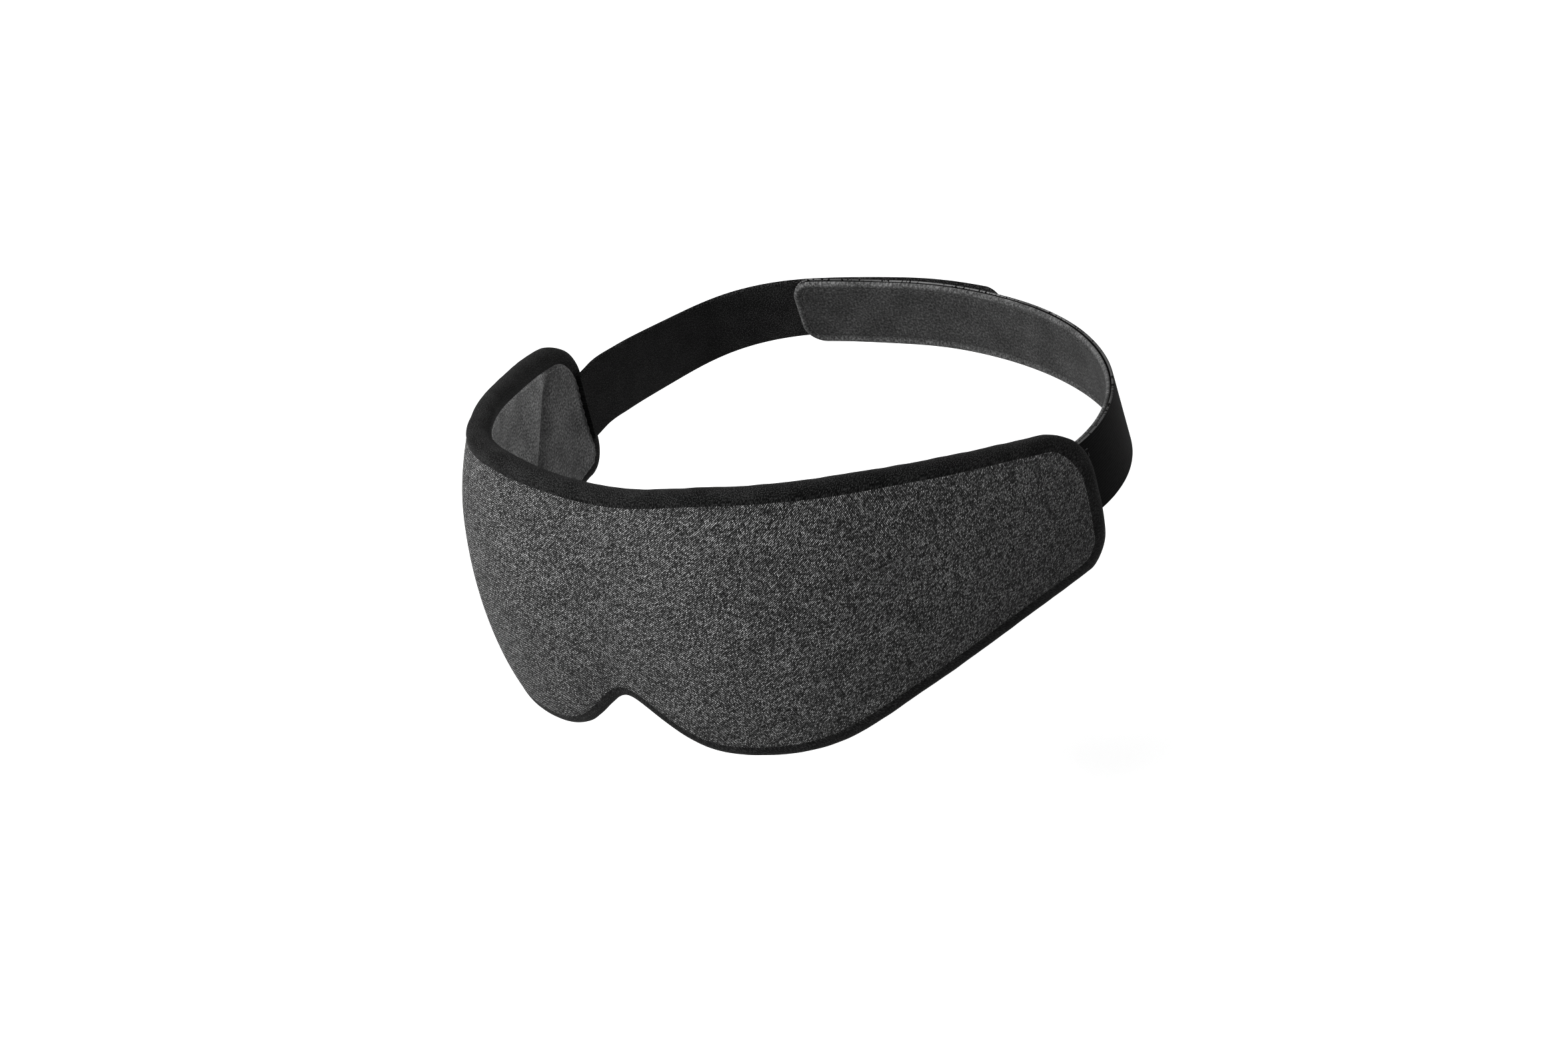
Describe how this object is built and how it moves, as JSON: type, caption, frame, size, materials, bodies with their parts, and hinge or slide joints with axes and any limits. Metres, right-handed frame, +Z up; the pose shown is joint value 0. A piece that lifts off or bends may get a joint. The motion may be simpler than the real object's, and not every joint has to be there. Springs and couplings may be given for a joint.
{
  "type": "sleep eye mask",
  "caption": "Contoured padded sleep mask with a black rim band, face-side lining and a two-strap headband closed at the back by hook and loop.",
  "frame": {"origin": "centre of the head opening, level with the middle of the strap roots", "axes": "+X to the wearer's left, -Y forwards out of the face, +Z up"},
  "size_m": [0.1728, 0.1821, 0.0786],
  "materials": {
    "heather_knit": "heather grey jersey knit",
    "foam": "open-cell foam",
    "grey_lining": "brushed lining",
    "black_band": "smooth matt stretch fabric",
    "loop_face": "ribbed loop fabric",
    "hook_tape": "nylon hook tape",
    "grey_thread": "spun polyester thread",
    "black_thread": "spun polyester thread"
  },
  "bodies": {
    "mask": {"outer_cover": "heather_knit", "foam_core": "foam", "inner_lining": "grey_lining", "edge_gusset": "black_band", "front_seam_thread": "black_thread", "lining_seam_thread": "grey_thread"},
    "left_strap": {"left_strap_lining": "grey_lining", "left_strap_loop_face": "loop_face", "left_strap_border_thread": "grey_thread", "left_anchor_thread": "black_thread"},
    "right_strap": {"right_strap_band": "black_band", "right_anchor_thread": "black_thread"},
    "closure": {"closure_tab": "black_band", "hook_patch": "hook_tape", "hook_patch_thread": "black_thread"}
  },
  "joints": [
    {"name": "left_strap_swing", "type": "hinge", "parent": "mask", "child": "left_strap", "pos_m": [0.07884, 0.00429, -0.0013], "axis": [0, 0, 1], "range_deg": [0, 12]},
    {"name": "right_strap_swing", "type": "hinge", "parent": "mask", "child": "right_strap", "pos_m": [-0.07884, 0.00429, -0.0018], "axis": [0, 0, 1], "range_deg": [0, 70]},
    {"name": "closure_peel", "type": "hinge", "parent": "right_strap", "child": "closure", "pos_m": [-0.06754, 0.072, -0.01172], "axis": [0.0998, -0.1634, 0.9815], "range_deg": [0, 80]}
  ]
}
